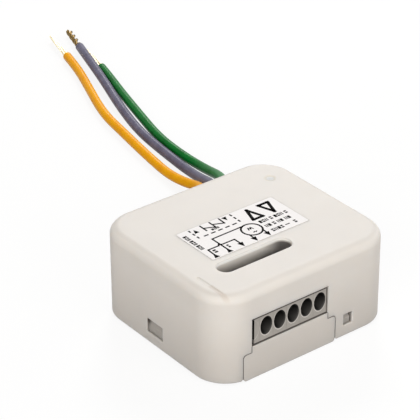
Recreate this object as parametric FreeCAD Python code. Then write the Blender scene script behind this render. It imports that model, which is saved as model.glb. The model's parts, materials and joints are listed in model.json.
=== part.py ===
import FreeCAD, Part
import math
import os

V = FreeCAD.Vector

# Units are millimetres. X runs to the right along the front, Y to the back, Z up.
# The origin is the middle of the underside, the front is the side with the terminals.

# Housing
HOUSING_WIDTH = 46.5
HOUSING_DEPTH = 41.5
HOUSING_HEIGHT = 20.8
CORNER_RADIUS = 7.6
TOP_EDGE_RADIUS = 2.0
RIM_EDGE_RADIUS = 0.3
RIM_LIFT = 0.3
WALL = 1.5
ROOF = 1.6
FLOOR = 1.6
BASE_FIT = 0.15
SEAM = 0.1
OPENING_EDGE = 0.2
WINDOW_EDGE = 0.15

# How far a cutting shape runs past the face that it cuts
PAST = 1.0

# Screwdriver slot in the roof, with a chute that reaches down to the keys
SLOT_LENGTH = 18.6
SLOT_WIDTH = 4.1
SLOT_SHIFT = -1.85
SLOT_SETBACK = 10.61
SLOT_LIP = 0.25
CHUTE_WALL = 0.8
CHUTE_KEY_GAP = 0.3

# Shallow line and round dimple in the top face
LINE_SIDE_GAP = 3.25
LINE_LENGTH = 10.9
LINE_WIDTH = 0.7
LINE_DEPTH = 0.12
LINE_TURN_DEGREES = 60
DIMPLE_SIDE_GAP = 6.45
DIMPLE_BACK_GAP = 8.55
DIMPLE_RADIUS = 1.25
DIMPLE_DEPTH = 0.15

# Label
LABEL_WIDTH = 25.2
LABEL_DEPTH = 12.3
LABEL_X = -1.0
LABEL_SLOT_GAP = 1.49
LABEL_THICK = 0.1
LABEL_CORNER = 0.3

# Terminal strip
PITCH = 3.5
POLE_COUNT = 5
STRIP_X = -3.95
ENTRY_Z = 11.2
POLE_GAP = 0.04
END_PLATE = 1.35
POLE_TOP = 15.0
NOSE_HEIGHT = 6.1
NOSE_Z = 11.0
NOSE_RECESS = 0.4
NOSE_GAP = 0.15
NOSE_EDGE = 0.15
OPENING_LEFT_GAP = 0.9
OPENING_RIGHT_GAP = 0.3
MOUTH_WIDTH = 3.1
MOUTH_HEIGHT = 4.3
MOUTH_LIP = 0.2
FUNNEL_DEPTH = 2.35
ENTRY_RADIUS = 1.15
APRON_SHOULDER = 2.1
APRON_HEIGHT = 6.5
APRON_CORNER = 1.0
STEP_CORNER = 0.8

# Clamp inside one pole
CHAMBER_LEFT_OF_ENTRY = 0.35
CHAMBER_AHEAD = 5.06
CHAMBER_BEHIND = 1.85
CHAMBER_REAR_WALL = 0.8
CHAMBER_RIGHT_WALL = 0.55
CHAMBER_FLOOR = 1.0
CHAMBER_ROOF = 1.4
METAL_WIDTH = 2.0
BAR_THICK = 0.6
BAR_TOP = 9.8
BAR_LEG_BEHIND = 0.95
PIN_WIDTH = 0.8
SPRING_THICK = 0.3
SPRING_HEIGHT = 2.8
SPRING_REACH = 2.4

# Release key
KEY_WIDTH = 2.0
KEY_DEPTH = 2.8
KEY_FOOT_LIP = 0.3
KEY_FOOT_HEIGHT = 0.8
KEY_RISE = 0.9
KEY_PLAY = 0.05
KEY_STOP_GAP = 0.1
KEY_GROOVE_WIDTH = 0.9
KEY_GROOVE_DEPTH = 0.4

# Circuit board and its posts
BOARD_THICK = 1.6
BOARD_LIFT = 1.0
BOARD_SIDE_GAP = 1.65
POST_RADIUS = 1.8
POST_PIN_RADIUS = 1.0
POST_PIN_RISE = 0.6
POST_PIN_PLAY = 0.15
HOLD_RIB_THICK = 1.0
HOLD_RIB_LAP = 0.5
HOLD_RIB_WALL_GAP = 8.75
HOLD_RIB_GAP = 0.05
LEAD_RADIUS = 0.35
LEAD_PLAY = 0.1
LEAD_BELOW = 0.6

# Where each post stands: its distance from the side edge and from the front or back edge
FRONT_LEFT_POST = [1.9, 6.6]
FRONT_RIGHT_POST = [1.7, 11.6]
BACK_LEFT_POST = [4.1, 2.4]
BACK_RIGHT_POST = [1.7, 7.8]

# Snap hooks and their windows: width, bottom and top
SIDE_WINDOW = (5.35, 2.6, 5.95)
END_WINDOW = (2.4, 2.9, 5.55)
SIDE_WINDOW_Y = 0.575
FRONT_WINDOW_GAP = 3.4
BACK_WINDOW_X = -9.5
HOOK_ARM = 1.2
HOOK_RECESS = 0.5
HOOK_PLAY = 0.1
HOOK_SIDE_GAP = 0.4

# Wires
WIRE_RADIUS = 1.15
WIRE_PITCH = 3.5
LAST_WIRE_SIDE_GAP = 8.85
WIRE_EXIT_Z = 10.4
WIRE_PLAY = 0.12
WIRE_STRAIGHT = 6.25
BACK_APRON_SHOULDER = 1.9
SADDLE_GAP = 0.15
HOLDER_DEPTH = 4.0
HOLDER_HEIGHT = 8.4
HOLDER_EDGE_GAP = 0.3
HOLDER_HOLE_DEPTH = 2.4
HOLDER_SIDE = 1.5
HOLDER_EDGE = 0.3
PIN_PLAY = 0.05
BARE_RADIUS = 0.8

# Board layout. Each list goes from one end of a row or column to the other. The gaps
# are kept, and the parts share the rest of the room in proportion to their numbers.
RELAY_COLUMN_GAPS = [0.8, 0.5, 4.1]
RELAY_COLUMN_PARTS = [10.1, 10.1]
SUPPLY_COLUMN_GAPS = [3.0, 1.2, 0.9, 4.2]
SUPPLY_COLUMN_PARTS = [8.0, 3.9, 4.4]
INPUT_COLUMN_GAPS = [1.1, 1.2, 2.3, 1.3, 0.7, 0.8]
INPUT_COLUMN_PARTS = [5.0, 3.5, 6.0, 4.0, 5.0]
MAIN_ROW_GAPS = [1.1, 0.9, 1.5, 4.0]
MAIN_ROW_PARTS = [17.6, 8.0, 6.0]
FRONT_ROW_GAPS = [1.4, 0.9]
FRONT_ROW_PARTS = [13.0]
SECOND_ROW_GAPS = [1.7, 1.3, 2.3]
SECOND_ROW_PARTS = [7.0, 3.0]

# Relays
RELAY_ROOF_GAP = 2.7
RELAY_EDGE = 0.5
RELAY_TOP_EDGE = 0.4
RELAY_LEAD_INSET = 1.6
RELAY_COIL_LEAD = 6.7
VENT_INSET = 2.5
VENT_RADIUS = 0.7
VENT_RISE = 0.3

# Capacitors
FILM_ROOF_GAP = 4.0
FILM_EDGE = 0.4
FILM_LEAD_INSET = 1.5
BULK_ROOF_GAP = 3.0
BULK_EDGE = 0.5
BULK_LEAD = 1.75
BULK_GROOVE_RISE = 1.6
BULK_GROOVE_RADIUS = 0.5

# Varistor, fuse and choke
VARISTOR_EDGE = 1.2
VARISTOR_LIFT = 0.3
VARISTOR_LEAD = 2.5
FUSE_HEIGHT = 8.0
FUSE_CAP = 1.5
FUSE_WAIST = 0.15
CHOKE_HEIGHT = 8.0
CHOKE_FLANGE = 1.2
CHOKE_LAP = 0.7
CHOKE_LEAD = 1.25

# Flat components: length along X and height, and depth where no column sets it
RECTIFIER = (4.8, 2.4)
CONVERTER = (4.9, 1.5)
CONTROLLER = (5.0, 1.1)
RADIO_CHIP = (5.0, 0.9)
CRYSTAL = (3.2, 2.5, 0.8)
LED = (1.6, 0.8, 0.7)
CHIP_EDGE = 0.2
CRYSTAL_EDGE = 0.4
LED_EDGE = 0.1
RECTIFIER_SHIFT = -1.6
CONVERTER_SHIFT = 0.5
CONTROLLER_RELAY_GAP = 1.4
RADIO_SHIFT = -0.4
CRYSTAL_RADIO_GAP = 0.9
CRYSTAL_LED_GAP = 2.4

# Light pipe and antenna
LIGHT_PIPE_RADIUS = 1.0
LIGHT_PIPE_PLAY = 0.05
LIGHT_PIPE_SKIN = 0.4
LIGHT_PIPE_LED_GAP = 0.2
LIGHT_COLLAR_WALL = 0.8
LIGHT_COLLAR_HOLDER_GAP = 1.6
ANTENNA_RADIUS = 0.4
ANTENNA_ROOF_GAP = 5.2
ANTENNA_BEND = 2.0
ANTENNA_EDGE_GAP = 1.1
ANTENNA_FRONT_GAP = 2.7
ANTENNA_BACK_GAP = 3.3

# Where each wire lies, measured in X and Y from its exit and in Z from the surface
WIRE_ROUTES = {
    "orange": [(7.2, 17.65, 7.6), (13.5, 30.15, 2.1), (15.9, 44.05, 1.2), (18.3, 59.75, 1.2),
               (21.5, 72.45, 1.2), (26.5, 84.95, 1.2), (30.3, 96.15, 1.2), (32.4, 103.45, 1.2)],
    "grey": [(7.3, 17.55, 7.8), (13.8, 29.85, 2.3), (16.3, 44.85, 1.2), (18.5, 56.65, 1.2),
             (22.8, 70.65, 1.2), (27.7, 84.05, 1.2), (32.1, 97.85, 1.2), (34.1, 104.45, 1.2)],
    "green": [(7.5, 17.65, 7.8), (13.9, 30.25, 2.3), (15.8, 40.05, 1.2), (17.9, 51.95, 1.2),
              (20.9, 64.05, 1.2), (25.2, 75.75, 1.2), (28.7, 85.65, 1.2), (30.1, 91.25, 1.2)],
}
BARE_LENGTH = {"orange": 13.0, "grey": 11.5, "green": 11.0}
BEND_SHARE = 0.45

# How near two heights must be to count as the same
MATCH = 0.001

# Places that follow from the sizes above
half_width = HOUSING_WIDTH / 2
half_depth = HOUSING_DEPTH / 2
inner_x = half_width - WALL
inner_y = half_depth - WALL
inner_radius = CORNER_RADIUS - WALL
ceiling = HOUSING_HEIGHT - ROOF
base_x = inner_x - BASE_FIT
base_y = inner_y - BASE_FIT
board_x = inner_x - BOARD_SIDE_GAP
board_y = inner_y - BOARD_SIDE_GAP
board_bottom = FLOOR + BOARD_LIFT
board_top = board_bottom + BOARD_THICK

slot_x = STRIP_X + SLOT_SHIFT
slot_y = -half_depth + SLOT_SETBACK
chute_bottom = POLE_TOP + KEY_RISE + CHUTE_KEY_GAP
line_x = -half_width + LINE_SIDE_GAP
dimple_x = half_width - DIMPLE_SIDE_GAP
dimple_y = half_depth - DIMPLE_BACK_GAP
label_y = slot_y + SLOT_WIDTH / 2 + LABEL_SLOT_GAP + LABEL_DEPTH / 2

pole_width = PITCH - POLE_GAP
first_entry_x = STRIP_X - PITCH * (POLE_COUNT - 1) / 2
strip_left = STRIP_X - PITCH * POLE_COUNT / 2 - END_PLATE
strip_right = STRIP_X + PITCH * POLE_COUNT / 2
nose_front = -half_depth + NOSE_RECESS
nose_bottom = NOSE_Z - NOSE_HEIGHT / 2
nose_top = NOSE_Z + NOSE_HEIGHT / 2
pole_front = -base_y + SEAM
chamber_front = slot_y - CHAMBER_AHEAD
chamber_rear = slot_y + CHAMBER_BEHIND
pole_rear = chamber_rear + CHAMBER_REAR_WALL
chamber_bottom = board_top + CHAMBER_FLOOR
chamber_top = POLE_TOP - CHAMBER_ROOF
opening_left = strip_left - OPENING_LEFT_GAP
opening_right = strip_right + OPENING_RIGHT_GAP
opening_bottom = nose_bottom - NOSE_GAP
opening_top = nose_top + NOSE_GAP
apron_left = opening_left - APRON_SHOULDER
apron_right = opening_right + APRON_SHOULDER
bar_leg_y = slot_y + BAR_LEG_BEHIND

last_wire_x = half_width - LAST_WIRE_SIDE_GAP
wire_xs = [last_wire_x - WIRE_PITCH * place for place in reversed(range(len(WIRE_ROUTES)))]
wire_hole_radius = WIRE_RADIUS + WIRE_PLAY
back_apron_left = wire_xs[0] - BACK_APRON_SHOULDER
back_apron_right = wire_xs[-1] + BACK_APRON_SHOULDER
holder_rear = board_y - HOLDER_EDGE_GAP
holder_front = holder_rear - HOLDER_DEPTH
wire_start_y = holder_rear - HOLDER_HOLE_DEPTH
holder_top = board_top + HOLDER_HEIGHT
collar_bottom = holder_top + LIGHT_COLLAR_HOLDER_GAP
light_pipe_top = HOUSING_HEIGHT - LIGHT_PIPE_SKIN

snaps = [
    ("left", SIDE_WINDOW_Y, SIDE_WINDOW),
    ("right", SIDE_WINDOW_Y, SIDE_WINDOW),
    ("front", apron_right + FRONT_WINDOW_GAP, END_WINDOW),
    ("back", BACK_WINDOW_X, END_WINDOW),
]


posts = [
    (-board_x + FRONT_LEFT_POST[0], -board_y + FRONT_LEFT_POST[1]),
    (board_x - FRONT_RIGHT_POST[0], -board_y + FRONT_RIGHT_POST[1]),
    (-board_x + BACK_LEFT_POST[0], board_y - BACK_LEFT_POST[1]),
    (board_x - BACK_RIGHT_POST[0], board_y - BACK_RIGHT_POST[1]),
]


def box(x0, x1, y0, y1, z0, z1):
    """A block between two corners."""
    return Part.makeBox(x1 - x0, y1 - y0, z1 - z0, V(x0, y0, z0))


def rod(x, y, z0, z1, radius):
    """An upright cylinder."""
    return Part.makeCylinder(radius, z1 - z0, V(x, y, z0))


def unit(vector):
    return vector * (1.0 / vector.Length)


def corner_arc(before, corner, after, radius):
    """The arc of the given radius that rounds a corner, with its start and its end."""
    into = unit(corner - before)
    away = unit(after - corner)
    half_turn = into.getAngle(away) / 2
    reach = radius * math.tan(half_turn)
    inward = unit(away - into)
    start = corner - into * reach
    end = corner + away * reach
    middle = corner + inward * (radius / math.cos(half_turn) - radius)
    return start, Part.Arc(start, middle, end).toShape(), end


def rounded_path(points, radii, closed):
    """Straight lines joined by tangent arcs. A radius of 0 leaves a corner sharp."""
    edges = []
    count = len(points)
    ends = []
    for i in range(count):
        inner = closed or 0 < i < count - 1
        if inner and radii[i] > 0:
            after = points[(i + 1) % count]
            ends.append(corner_arc(points[i - 1], points[i], after, radii[i]))
        else:
            ends.append((points[i], None, points[i]))
    last = count if closed else count - 1
    for i in range(count):
        if ends[i][1] is not None:
            edges.append(ends[i][1])
        if i < last:
            start = ends[i][2]
            end = ends[(i + 1) % count][0]
            edges.append(Part.LineSegment(start, end).toShape())
    return Part.Wire(edges)


def plate(corners, place, thickness):
    """A closed outline of (u, v, radius) corners, placed in space and made thick."""
    points = [place(u, v) for u, v, _ in corners]
    radii = [radius for _, _, radius in corners]
    return Part.Face(rounded_path(points, radii, True)).extrude(thickness)


def slab(x_half, y_half, radius, z0, z1):
    """A flat block with rounded corners, centred on the origin in plan."""
    corners = [(-x_half, -y_half, radius), (x_half, -y_half, radius),
               (x_half, y_half, radius), (-x_half, y_half, radius)]
    return plate(corners, lambda u, v: V(u, v, z0), V(0, 0, z1 - z0))


def edges_at_height(solid, z):
    """The edges that lie wholly at one height."""
    found = []
    for edge in solid.Edges:
        bounds = edge.BoundBox
        if abs(bounds.ZMin - z) < MATCH and abs(bounds.ZMax - z) < MATCH:
            found.append(edge)
    return found


def stadium(x, y, length, width, z0, z1):
    """A block with round ends, longest along X."""
    radius = width / 2
    flat = length / 2 - radius
    middle = box(x - flat, x + flat, y - radius, y + radius, z0, z1)
    return middle.fuse([rod(x - flat, y, z0, z1, radius), rod(x + flat, y, z0, z1, radius)])


def housing_block(bottom):
    """The outside of the housing, with its rounded top edge and rim."""
    block = slab(half_width, half_depth, CORNER_RADIUS, bottom, HOUSING_HEIGHT)
    block = block.makeFillet(TOP_EDGE_RADIUS, edges_at_height(block, HOUSING_HEIGHT))
    return block.makeFillet(RIM_EDGE_RADIUS, edges_at_height(block, bottom))


def front_outline(gap, rim, corner, top):
    """The stepped outline of the front notch, or of the apron in it where gap is above 0."""
    left = apron_left + gap
    right = apron_right - gap
    step = APRON_HEIGHT - gap
    side = corner if gap > 0 else 0
    inner = opening_left + gap
    outer = opening_right - gap
    return [
        (left, rim, side), (left, step, STEP_CORNER), (inner, step, 0), (inner, top, 0),
        (outer, top, 0), (outer, step, 0), (right, step, STEP_CORNER), (right, rim, side),
    ]


def rim_flare(x, direction, y0, y1):
    """The wedge with a hollow face that rounds the end of the rim beside a notch."""
    radius = STEP_CORNER
    low = RIM_LIFT
    reach = direction * radius
    wedge = box(min(x, x + reach), max(x, x + reach), y0, y1, low, low + radius)
    centre = V(x + reach, y0, low + radius)
    return wedge.cut(Part.makeCylinder(radius, y1 - y0, centre, V(0, 1, 0)))


def front_notch():
    """Terminal opening and the notch below it, cut through the front wall."""
    y0 = -half_depth - PAST
    y1 = -base_y + SEAM
    outline = front_outline(0, RIM_LIFT - PAST, 0, opening_top)
    notch = plate(outline, lambda u, v: V(u, y0, v), V(0, y1 - y0, 0))
    flares = [rim_flare(apron_left, -1, y0, y1), rim_flare(apron_right, 1, y0, y1)]
    return notch.fuse(flares)


def back_notch():
    """Notch for the wires in the back wall, open at the rim and round at the top."""
    y0 = base_y - SEAM
    y1 = half_depth + PAST
    notch = box(back_apron_left, back_apron_right, y0, y1, RIM_LIFT - PAST, WIRE_EXIT_Z)
    holes = [wire_hole(x, y0, y1) for x in wire_xs]
    flares = [rim_flare(back_apron_left, -1, y0, y1), rim_flare(back_apron_right, 1, y0, y1)]
    return notch.fuse(holes + flares)


def wire_hole(x, y0, y1):
    return Part.makeCylinder(wire_hole_radius, y1 - y0, V(x, y0, WIRE_EXIT_Z), V(0, 1, 0))


def on_side(shape, side):
    """Turn a shape made for the right wall so that it serves another wall."""
    turns = {"right": 0, "back": 90, "left": 180, "front": 270}
    shape.rotate(V(0, 0, 0), V(0, 0, 1), turns[side])
    return shape


def wall_distance(side):
    return inner_x if side in ("left", "right") else inner_y


def place_along(side, place):
    """Where a place along a wall lies on the right wall, before the turn."""
    return -place if side in ("left", "back") else place


def snap_window(side, place, window):
    """Hole in the wall that a snap hook catches in."""
    width, low, high = window
    wall = wall_distance(side)
    y = place_along(side, place)
    hole = box(wall - PAST, wall + WALL + PAST, y - width / 2, y + width / 2, low, high)
    return on_side(hole, side)


def snap_hook(side, place, window):
    """Arm on the base whose nose catches over the lower edge of its window."""
    width, low, high = window
    wall = wall_distance(side)
    y = place_along(side, place)
    outer = wall - BASE_FIT
    nose = wall + WALL - HOOK_RECESS
    latch = low + HOOK_PLAY
    profile = [
        (outer - HOOK_ARM, FLOOR / 2, 0), (outer, FLOOR / 2, 0), (outer, latch, 0),
        (nose, latch, 0), (nose, (latch + high) / 2, 0), (outer, high - 2 * HOOK_PLAY, 0),
        (outer - HOOK_ARM, high - HOOK_PLAY, 0),
    ]
    start = y - width / 2 + HOOK_PLAY
    length = width - HOOK_PLAY - HOOK_SIDE_GAP
    return on_side(plate(profile, lambda u, v: V(u, start, v), V(0, length, 0)), side)


def top_line():
    """Shallow round-bottomed line in the top face that runs over the front edge."""
    radius = (LINE_WIDTH ** 2 / 4 + LINE_DEPTH ** 2) / (2 * LINE_DEPTH)
    bend_y = -half_depth + TOP_EDGE_RADIUS
    bend_z = HOUSING_HEIGHT - TOP_EDGE_RADIUS
    axis_z = HOUSING_HEIGHT - LINE_DEPTH + radius
    end_y = -half_depth + LINE_LENGTH
    straight = Part.makeCylinder(radius, end_y - bend_y, V(line_x, bend_y, axis_z), V(0, 1, 0))
    profile = Part.Face(Part.Wire(Part.makeCircle(radius, V(line_x, bend_y, axis_z), V(0, 1, 0))))
    bend = profile.revolve(V(line_x, bend_y, bend_z), V(1, 0, 0), LINE_TURN_DEGREES)
    return straight.fuse(bend)


def dimple():
    """Shallow round hollow in the top face, over the light pipe."""
    radius = (DIMPLE_RADIUS ** 2 + DIMPLE_DEPTH ** 2) / (2 * DIMPLE_DEPTH)
    return Part.makeSphere(radius, V(dimple_x, dimple_y, HOUSING_HEIGHT - DIMPLE_DEPTH + radius))


def hold_ribs():
    """Four ribs under the roof that keep the board down on its posts."""
    x0 = board_x - HOLD_RIB_LAP
    x1 = inner_x + WALL / 2
    y = half_depth - HOLD_RIB_WALL_GAP
    rib = box(x0, x1, y - HOLD_RIB_THICK / 2, y + HOLD_RIB_THICK / 2,
              board_top + HOLD_RIB_GAP, ceiling + ROOF / 2)
    pair = [rib, rib.mirror(V(0, 0, 0), V(1, 0, 0))]
    return pair + [one.mirror(V(0, 0, 0), V(0, 1, 0)) for one in pair]


def soften(solid, side, span, low, high, radius):
    """Round the edges on the outer face of one wall, between two places and two heights."""
    out = wall_distance(side) + WALL
    wall = -out if side in ("left", "front") else out
    chosen = []
    for edge in solid.Edges:
        bounds = edge.BoundBox
        across = (bounds.YMin, bounds.YMax)
        along = (bounds.XMin, bounds.XMax)
        if side in ("left", "right"):
            across, along = along, across
        on_wall = max(abs(value - wall) for value in across) < MATCH
        in_span = span[0] - MATCH < along[0] and along[1] < span[1] + MATCH
        in_height = low - MATCH < bounds.ZMin and bounds.ZMax < high + MATCH
        if on_wall and in_span and in_height:
            chosen.append(edge)
    return solid.makeFillet(radius, chosen)


def slot_lip_edges(solid):
    """The edges where the slot meets the top face."""
    half_length = SLOT_LENGTH / 2 + MATCH
    half_slot = SLOT_WIDTH / 2 + MATCH
    found = []
    for edge in edges_at_height(solid, HOUSING_HEIGHT):
        bounds = edge.BoundBox
        in_x = slot_x - half_length < bounds.XMin and bounds.XMax < slot_x + half_length
        in_y = slot_y - half_slot < bounds.YMin and bounds.YMax < slot_y + half_slot
        if in_x and in_y:
            found.append(edge)
    return found


def top_shell():
    """Deep cover with the slot, windows, notches, chute, ribs and light collar."""
    shell = housing_block(RIM_LIFT)
    shell = shell.cut(slab(inner_x, inner_y, inner_radius, RIM_LIFT - PAST, ceiling))
    chute = stadium(slot_x, slot_y, SLOT_LENGTH + 2 * CHUTE_WALL, SLOT_WIDTH + 2 * CHUTE_WALL,
                    chute_bottom, ceiling + ROOF / 2)
    bore_radius = LIGHT_PIPE_RADIUS + LIGHT_PIPE_PLAY
    collar = rod(dimple_x, dimple_y, collar_bottom, ceiling + ROOF / 2,
                 bore_radius + LIGHT_COLLAR_WALL)
    shell = shell.fuse([chute, collar] + hold_ribs())
    slot = stadium(slot_x, slot_y, SLOT_LENGTH, SLOT_WIDTH, chute_bottom - PAST,
                   HOUSING_HEIGHT + PAST)
    bore = rod(dimple_x, dimple_y, collar_bottom - PAST, light_pipe_top, bore_radius)
    shell = shell.cut([slot, bore]).removeSplitter()
    shell = shell.makeFillet(SLOT_LIP, slot_lip_edges(shell))
    cuts = [front_notch(), back_notch(), top_line(), dimple()]
    cuts += [snap_window(*snap) for snap in snaps]
    shell = shell.cut(cuts)
    shell = soften(shell, "front", (opening_left, opening_right), opening_bottom, opening_top,
                   OPENING_EDGE)
    for side, place, window in snaps:
        width, low, high = window
        span = (place - width / 2, place + width / 2)
        shell = soften(shell, side, span, low, high, WINDOW_EDGE)
    return shell


def front_apron():
    """Part of the base that fills the notch below the terminals."""
    outline = front_outline(SEAM, 0, APRON_CORNER, opening_bottom)
    y0 = -half_depth
    apron = plate(outline, lambda u, v: V(u, y0, v), V(0, WALL + BASE_FIT, 0))
    foot = box(apron_left + APRON_CORNER + SEAM, apron_right - APRON_CORNER - SEAM,
               -inner_y, -base_y + WALL, 0, FLOOR)
    return apron.fuse(foot)


def back_apron():
    """Part of the base that fills the notch below the wires, with a saddle for each wire."""
    left = back_apron_left + SEAM
    right = back_apron_right - SEAM
    top = WIRE_EXIT_Z - SADDLE_GAP
    outline = [(left, 0, APRON_CORNER), (right, 0, APRON_CORNER), (right, top, 0), (left, top, 0)]
    apron = plate(outline, lambda u, v: V(u, base_y, v), V(0, WALL + BASE_FIT, 0))
    foot = box(left + APRON_CORNER, right - APRON_CORNER, base_y - WALL, inner_y, 0, FLOOR)
    saddles = [wire_hole(x, base_y - PAST, half_depth + PAST) for x in wire_xs]
    return apron.fuse(foot).cut(saddles)


def base():
    """Floor of the housing with its aprons, board posts and snap hooks."""
    floor = slab(base_x, base_y, inner_radius - BASE_FIT, 0, FLOOR)
    aprons = front_apron().fuse(back_apron()).common(housing_block(0))
    solids = [aprons]
    for x, y in posts:
        solids.append(rod(x, y, FLOOR / 2, board_bottom, POST_RADIUS))
        solids.append(rod(x, y, FLOOR / 2, board_top + POST_PIN_RISE, POST_PIN_RADIUS))
    solids += [snap_hook(*snap) for snap in snaps]
    return floor.fuse(solids).removeSplitter()


def label():
    x_half = LABEL_WIDTH / 2
    y_half = LABEL_DEPTH / 2
    sticker = slab(x_half, y_half, LABEL_CORNER, HOUSING_HEIGHT, HOUSING_HEIGHT + LABEL_THICK)
    sticker.translate(V(LABEL_X, label_y, 0))
    return sticker


def entry_x(pole):
    return first_entry_x + PITCH * pole


def clamp_x(pole):
    return entry_x(pole) - CHAMBER_LEFT_OF_ENTRY


def pole_outline():
    """Side view of a pole: a block on the board with a nose that shows in the opening."""
    return [
        (nose_front, nose_bottom, NOSE_EDGE), (pole_front, nose_bottom, 0),
        (pole_front, board_top, 0), (pole_rear, board_top, 0), (pole_rear, POLE_TOP, 0),
        (pole_front, POLE_TOP, 0), (pole_front, nose_top, 0), (nose_front, nose_top, NOSE_EDGE),
    ]


def upright(curve, centre):
    """Stand a curve that was drawn flat across the way into an entry."""
    outline = Part.Wire(curve.toShape())
    outline.rotate(centre, V(0, 1, 0), 90)
    outline.rotate(centre, V(0, 0, 1), 90)
    return outline


def oval(x, y, shrink):
    """Outline of an entry's mouth, made smaller all round."""
    centre = V(x, y, ENTRY_Z)
    curve = Part.Ellipse(centre, MOUTH_HEIGHT / 2 - shrink, MOUTH_WIDTH / 2 - shrink)
    return upright(curve, centre)


def entry_cut(x):
    """Oval funnel with a bevelled lip that leads into the round hole for a conductor."""
    mouth = oval(x, nose_front, 0)
    neck = oval(x, nose_front + MOUTH_LIP, MOUTH_LIP)
    throat_y = nose_front + FUNNEL_DEPTH
    throat_centre = V(x, throat_y, ENTRY_Z)
    throat = upright(Part.Circle(throat_centre, V(0, 0, 1), ENTRY_RADIUS), throat_centre)
    lip = Part.makeLoft([mouth, neck], True, True)
    funnel = Part.makeLoft([neck, throat], True, True).fuse(lip)
    bore = Part.makeCylinder(ENTRY_RADIUS, chamber_front - throat_y + PAST,
                             V(x, throat_y, ENTRY_Z), V(0, 1, 0))
    return funnel.fuse(bore)


def terminal_pole(pole):
    """Housing of one pole, open on its left, where the next piece closes it."""
    left = entry_x(pole) - pole_width / 2
    right = left + pole_width
    x = clamp_x(pole)
    body = plate(pole_outline(), lambda u, v: V(left, u, v), V(pole_width, 0, 0))
    chamber = box(left - PAST, right - CHAMBER_RIGHT_WALL, chamber_front, chamber_rear,
                  chamber_bottom, chamber_top)
    shaft_x = KEY_WIDTH / 2 + KEY_PLAY
    shaft_y = KEY_DEPTH / 2 + KEY_PLAY
    shaft = box(x - shaft_x, x + shaft_x, slot_y - shaft_y, slot_y + shaft_y,
                chamber_top - PAST, POLE_TOP + PAST)
    pin_x = PIN_WIDTH / 2 + LEAD_PLAY
    pin_y = BAR_THICK / 2 + LEAD_PLAY
    pin_hole = box(x - pin_x, x + pin_x, bar_leg_y - pin_y, bar_leg_y + pin_y,
                   board_top - PAST, chamber_bottom + PAST)
    return body.cut([chamber, shaft, pin_hole, entry_cut(entry_x(pole))])


def terminal_end_plate():
    """Plate that closes the open side of the first pole."""
    width = END_PLATE - POLE_GAP / 2
    side = plate(pole_outline(), lambda u, v: V(strip_left, u, v), V(width, 0, 0))
    nose_edges = []
    for edge in side.Edges:
        bounds = edge.BoundBox
        if bounds.XMax < strip_left + MATCH and bounds.YMax < pole_front - MATCH:
            nose_edges.append(edge)
    return side.makeFillet(NOSE_EDGE / 2, nose_edges)


def release_key(pole):
    """Sprung key that opens one clamp when a screwdriver pushes it down."""
    x = clamp_x(pole)
    foot_top = chamber_top - KEY_STOP_GAP
    foot_bottom = foot_top - KEY_FOOT_HEIGHT
    top = POLE_TOP + KEY_RISE
    half_x = KEY_WIDTH / 2
    half_y = KEY_DEPTH / 2
    foot_y = half_y + KEY_FOOT_LIP
    stem = box(x - half_x, x + half_x, slot_y - half_y, slot_y + half_y, foot_bottom, top)
    foot = box(x - half_x, x + half_x, slot_y - foot_y, slot_y + foot_y, foot_bottom, foot_top)
    groove = box(x - half_x - PAST, x + half_x + PAST, slot_y - KEY_GROOVE_WIDTH / 2,
                 slot_y + KEY_GROOVE_WIDTH / 2, top - KEY_GROOVE_DEPTH, top + PAST)
    return stem.fuse(foot).removeSplitter().cut(groove)


def contact_bar(pole):
    """Current bar of one pole, with a leg on the housing floor and a pin into the board."""
    x = clamp_x(pole)
    half = METAL_WIDTH / 2
    leg_front = bar_leg_y - BAR_THICK / 2
    leg_rear = bar_leg_y + BAR_THICK / 2
    bar = box(x - half, x + half, chamber_front + LEAD_PLAY, leg_rear, BAR_TOP - BAR_THICK, BAR_TOP)
    leg = box(x - half, x + half, leg_front, leg_rear, chamber_bottom, BAR_TOP)
    pin = box(x - PIN_WIDTH / 2, x + PIN_WIDTH / 2, leg_front, leg_rear,
              board_bottom - LEAD_BELOW, chamber_bottom + BAR_THICK)
    return bar.fuse([leg, pin]).removeSplitter()


def clamp_spring(pole):
    """Leaf spring that stands on the bar, under the key, with its tip in the wire's path."""
    x = clamp_x(pole)
    rear = bar_leg_y
    front = slot_y - SPRING_REACH
    top = BAR_TOP + SPRING_HEIGHT
    t = SPRING_THICK
    tip = front + 2 * t
    bend = 2 * t
    outline = [
        (rear, BAR_TOP, 0), (rear, top, bend), (front, top, bend),
        (tip, BAR_TOP + LEAD_PLAY, 0), (tip + t, BAR_TOP + LEAD_PLAY, 0),
        (front + t, top - t, t), (rear - t, top - t, t), (rear - t, BAR_TOP, 0),
    ]
    half = METAL_WIDTH / 2
    return plate(outline, lambda u, v: V(x - half, u, v), V(METAL_WIDTH, 0, 0))


def lead(x, y):
    """Round lead of a component, through the board."""
    return rod(x, y, board_bottom - LEAD_BELOW, board_top + LEAD_RADIUS, LEAD_RADIUS)


def component_block(span_x, span_y, height, edge):
    """A block on the board with rounded upright edges."""
    half_x = (span_x[1] - span_x[0]) / 2
    half_y = (span_y[1] - span_y[0]) / 2
    block = slab(half_x, half_y, edge, board_top, board_top + height)
    block.translate(V(middle(span_x), middle(span_y), 0))
    return block


def middle(span):
    return (span[0] + span[1]) / 2


def around(centre, length):
    """The span of a given length around a middle."""
    return centre - length / 2, centre + length / 2


def share_out(start, end, gaps, parts):
    """Share the room between two places among parts, with the gaps kept as they are."""
    scale = (end - start - sum(gaps)) / sum(parts)
    spans = []
    low = start
    for gap, part in zip(gaps, parts):
        low += gap
        spans.append((low, low + part * scale))
        low += part * scale
    return spans


def round_radius(span_x, span_y):
    """The largest circle that fits in the room along X and along Y."""
    return min(span_x[1] - span_x[0], span_y[1] - span_y[0]) / 2


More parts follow.
